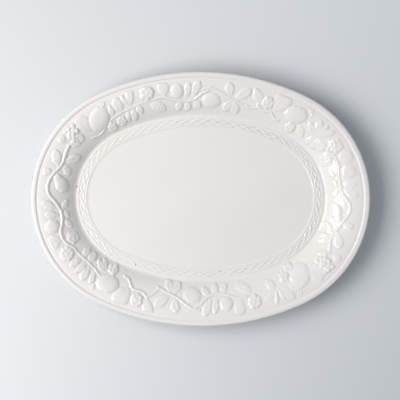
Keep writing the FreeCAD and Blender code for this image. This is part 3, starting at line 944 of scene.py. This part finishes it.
def biscuitMaterial():
    # the ring left bare where the platter stood in the kiln
    shader = Shader("bare foot")
    grime = shader.ranged(shader.noise(biscuit["grimeScale"], 5.0, 0.65), *biscuit["grime"])
    colour = shader.mix(grime, biscuit["pale"], biscuit["worn"])
    grain = shader.noise(biscuit["grainScale"], 3.0, 0.7)
    bump = shader.node("ShaderNodeBump", None, {**biscuit["bump"], "Height": grain})
    return shader.finish({"Base Color": colour,
                          "Roughness": grime * biscuit["rougher"] + biscuit["rough"],
                          "Normal": bump})


chinaGlaze = glazeMaterial()
bareFoot = biscuitMaterial()
print("materials made")


# Pieces of the top


def topPiece(name, rowRange, nodes, columnRange=None):
    # without a range of columns the piece goes all the way round
    rows = slice(*rowRange)
    closed = columnRange is None
    left, right = columnRange or (0, columns - 1)
    pick = np.arange(left, right + 1) % columns
    piece = makeSkin(name, topX[rows][:, pick], topY[rows][:, pick], topZ[rows][:, pick],
                     topNormals[rows][:, pick], topHollows[rows][:, pick], closed, chinaGlaze)
    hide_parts(*nodes)


quarters = ["back_left", "front_left", "front_right", "back_right"]
garlandNodes = [
    "vine_stems", "tendrils", "large_apples", "small_apples", "apple_crowns", "pears",
    "raspberries", "raspberry_collars", "seed_heads", "blossoms", "roses", "round_buds",
    "broad_leaves", "outer_leaves", "inner_leaves", "fan_leaves",
]
bandNodes = ["verge_bead", "plait_border_outer", "plait_border_inner", "plait_strand_first",
             "plait_strand_second"]
topPiece("rim_lip", (0, garlandRow + 1), ["lip_bead"])
for number, quarter in enumerate(quarters):
    span = (number * columns // 4, (number + 1) * columns // 4)
    topPiece("garland_" + quarter, (garlandRow, bandRow + 1), garlandNodes, span)
for number, side in enumerate(("left", "right")):
    span = (number * columns // 2, (number + 1) * columns // 2)
    topPiece("plait_band_" + side, (bandRow, len(topInset)), bandNodes, span)
print("top made:", 2 * (len(topInset) - 1) * columns, "triangles")


# Well, underside and foot: rings with fewer columns than the top, from the outside in

under = {
    "wallSteps": 24,
    # (inset, height) of the bend between wall and base, against where they would meet
    "bend": [(-0.9, 1.0), (0.6, 0.25)],
    # of the foot's outer side, against its foot and the base
    "outerRoot": [(-0.9, -0.1), (-0.25, -0.9), (0.0, -2.0)],
    # of the foot's lower corners, from its sides inward and from the table up
    "corner": [(0.12, 1.1), (0.45, 0.35), (1.3, 0.03)],
    "rest": 0.25,  # the bare ring dips to the table over this
    # of the foot's inner side, like the outer
    "innerRoot": [(0.0, -2.0), (0.3, -0.8), (1.0, -0.15), (2.2, 0.0)],
}


def ringAt(count, inset, z):
    x, y = oval.place(np.arange(count) / count, np.full(count, float(inset)))
    return np.stack([x, y, np.full(count, float(z))], -1)


def makeRings(name, rings, material, startRing=None, centreZ=None, facingUp=False):
    # startRing may have several times as many points as the rings that follow it
    count = len(rings[0])
    points = [] if startRing is None else list(startRing)
    start = len(points)
    ratio = start // count
    steps = [(k, (k + 1) % count) for k in range(count)]
    faces = []
    if start:
        for left, right in steps:
            outer = [(left * ratio + j) % start for j in range(ratio + 1)]
            faces.append(outer + [start + right, start + left])
    for ring in rings:
        new = len(points)
        old = new - count
        if new > start:
            faces += [[old + left, old + right, new + right, new + left] for left, right in steps]
        points.extend(ring)
    if centreZ is not None:
        new = len(points)
        faces += [[new - count + left, new - count + right, new] for left, right in steps]
        points.append((0.0, 0.0, centreZ))
    if not facingUp:
        faces = [face[::-1] for face in faces]
    points = np.array(points, float)
    data = bpy.data.meshes.new(name)
    data.from_pydata((points / metre).tolist(), [], faces)
    data.polygons.foreach_set("use_smooth", np.ones(len(faces), bool))
    uv = data.uv_layers.new(name="OFBake")
    corner = np.zeros(len(data.loops), np.int32)
    data.loops.foreach_get("vertex_index", corner)
    low, high = points.min(0), points.max(0)
    flat = (points[:, :2] - low[:2]) / (high[:2] - low[:2])
    uv.uv.foreach_set("vector", flat[corner].astype(np.float32).ravel())
    if facingUp:
        step = 0.5
        x, y = points[:, 0], points[:, 1]
        normals = np.stack([wobble(x - step, y) - wobble(x + step, y),
                            wobble(x, y - step) - wobble(x, y + step),
                            np.full(len(x), 2 * step)], -1)
        normals /= np.linalg.norm(normals, axis=1, keepdims=True)
        data.normals_split_custom_set_from_vertices(normals.tolist())
    piece = addObject(name, data)
    data.materials.append(material)
    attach(piece, "root")
    return piece


def makeWell():
    edge = np.stack([topX[-1], topY[-1], topZ[-1]], -1)
    outer = ringAt(mesh["floorColumns"], topInset[-1] + mesh["floorGap"], floorTop)
    rings = []
    for share in np.linspace(1, 0.02, mesh["floorRings"]):
        ring = outer * (share, share, 1)
        ring[:, 2] += wobble(ring[:, 0], ring[:, 1])
        rings.append(ring)
    piece = makeRings("well", rings, chinaGlaze, edge, floorTop + float(wobble(0.0, 0.0)), True)
    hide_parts("platter_body")


def makeUnderside():
    count = mesh["underColumns"]
    edge = np.stack([topX[0], topY[0], topZ[0]], -1)
    foot = platter["footInset"]
    *line, (bend, level) = slope.under(under["wallSteps"])
    line += [(bend + inset, level + z) for inset, z in under["bend"]]
    line = [point for point in line if point[0] < foot - platter["footCorner"]]
    line += [(foot + inset, footTop + z) for inset, z in under["outerRoot"]]
    line += [(foot + inset, z) for inset, z in under["corner"]]
    piece = makeRings("underside", [ringAt(count, *place) for place in line], chinaGlaze, edge)
    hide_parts("platter_body")

    inner = foot + platter["footWidth"]
    corner, low = under["corner"][-1]
    rest = [(foot + corner, low), (foot + corner + under["rest"], 0.0),
            (inner - corner - under["rest"], 0.0), (inner - corner, low)]
    piece = makeRings("foot_rest", [ringAt(count, *place) for place in rest], bareFoot)
    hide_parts("foot_ring")

    line = [(inner - inset, z) for inset, z in reversed(under["corner"])]
    line += [(inner + inset, footTop + z) for inset, z in under["innerRoot"]]
    rings = [ringAt(count, *place) for place in line]
    rings += [rings[-1] * (share, share, 1)
              for share in np.linspace(0.97, 0.03, mesh["recessRings"])]
    piece = makeRings("foot_recess", rings, chinaGlaze, None, footTop)
    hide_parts("platter_body")


makeWell()
makeUnderside()
print("well, underside and foot made")


# Backdrop, lamps and camera, in metres

room = {
    "floorSize": 6.0,
    "floorDrop": 0.0002,
    # painted light on the paper: its colour is lighter one way and darker the other, where the
    # lamps' light falls off
    "paintedLitFloor": (0.758, 0.776, 0.792, 1),
    "paintedShadedFloor": (0.648, 0.665, 0.68, 1),
    "floorTones": (-0.3, 1.3),  # from dark to light
    "floorAlong": -0.4,
    "floorTwist": 8.0,
    "floorNear": (0.3, 0.8),  # further away than this it is even
    "worldColour": (0.80, 0.86, 0.93, 1),
    "worldStrength": 0.436,
    "lampColour": (1.0, 0.985, 0.96),
    "window": {"place": (-0.9, 0.055, 1.02), "wide": 1.1, "tall": 0.85, "watts": 17.95},
    # the glints on the glaze come from lower down, a little to one side
    "glint": {"place": (-1.067, -0.159, 0.831), "wide": 1.3, "tall": 0.55, "watts": 14.2},
}


def makeLamp(name):
    pane = room[name]
    light = bpy.data.lights.new(name, "AREA")
    light.shape = "RECTANGLE"
    light.size, light.size_y = pane["wide"], pane["tall"]
    light.energy = pane["watts"]
    light.color = room["lampColour"]
    lamp = addObject(name, light)
    lamp.location = pane["place"]
    lamp.rotation_mode = "QUATERNION"
    lamp.rotation_quaternion = (-Vector(pane["place"])).to_track_quat("-Z", "Y")
    return lamp


def makeRoom():
    data = bpy.data.meshes.new("table")
    half = room["floorSize"] / 2
    corners = [(-half, -half), (half, -half), (half, half), (-half, half)]
    data.from_pydata([(x, y, -room["floorDrop"]) for x, y in corners], [], [(0, 1, 2, 3)])
    table = addObject("table", data)
    shader = Shader("backdrop paper")
    x, y = [shader.node("ShaderNodeSeparateXYZ", None, [shader.place()], axis) for axis in "XY"]
    away = shader.node("ShaderNodeVectorMath", {"operation": "LENGTH"}, [shader.place()], "Value")
    near = shader.ranged(away, *room["floorNear"], 1.0, 0.0)
    # painted light and shade: the paper's colour goes lighter and darker across it near the platter
    paintedLight = near * x * (y * room["floorTwist"] + room["floorAlong"]) + 0.5
    colour = shader.mix(shader.ranged(paintedLight, *room["floorTones"]), room["paintedShadedFloor"],
                        room["paintedLitFloor"])
    data.materials.append(shader.finish({"Base Color": colour, "Roughness": 0.9}))

    world = bpy.data.worlds.new("room")
    world.use_nodes = True
    sky = world.node_tree.nodes["Background"]
    sky.inputs["Color"].default_value = room["worldColour"]
    sky.inputs["Strength"].default_value = room["worldStrength"]
    bpy.context.scene.world = world

    makeLamp("window").visible_glossy = False
    makeLamp("glint").visible_diffuse = False


view = {
    "distance": 2.0,
    "lean": (-0.045, 0.105),  # how far the camera stands off the vertical, as slopes
    "aim": (-0.0009, -0.0019, 0.012),
    "lens": 159.4,
    "sensor": 36,
    "clip": (0.1, 20),
    "roll": 0.0122,
}


def makeCamera():
    lens = bpy.data.cameras.new("camera")
    lens.lens = view["lens"]
    lens.sensor_width = view["sensor"]
    lens.clip_start, lens.clip_end = view["clip"]
    camera = addObject("camera", lens)
    away = Vector((*view["lean"], 1)).normalized()
    camera.location = Vector(view["aim"]) + away * view["distance"]
    camera.rotation_mode = "QUATERNION"
    right = Vector((math.cos(view["roll"]), math.sin(view["roll"]), 0))
    right = (right - away * right.dot(away)).normalized()
    axes = Matrix((right, away.cross(right), away)).transposed()
    camera.rotation_quaternion = axes.to_quaternion()
    bpy.context.scene.camera = camera


makeRoom()
makeCamera()
bpy.context.scene.view_settings.view_transform = "Standard"
print("room and camera made")
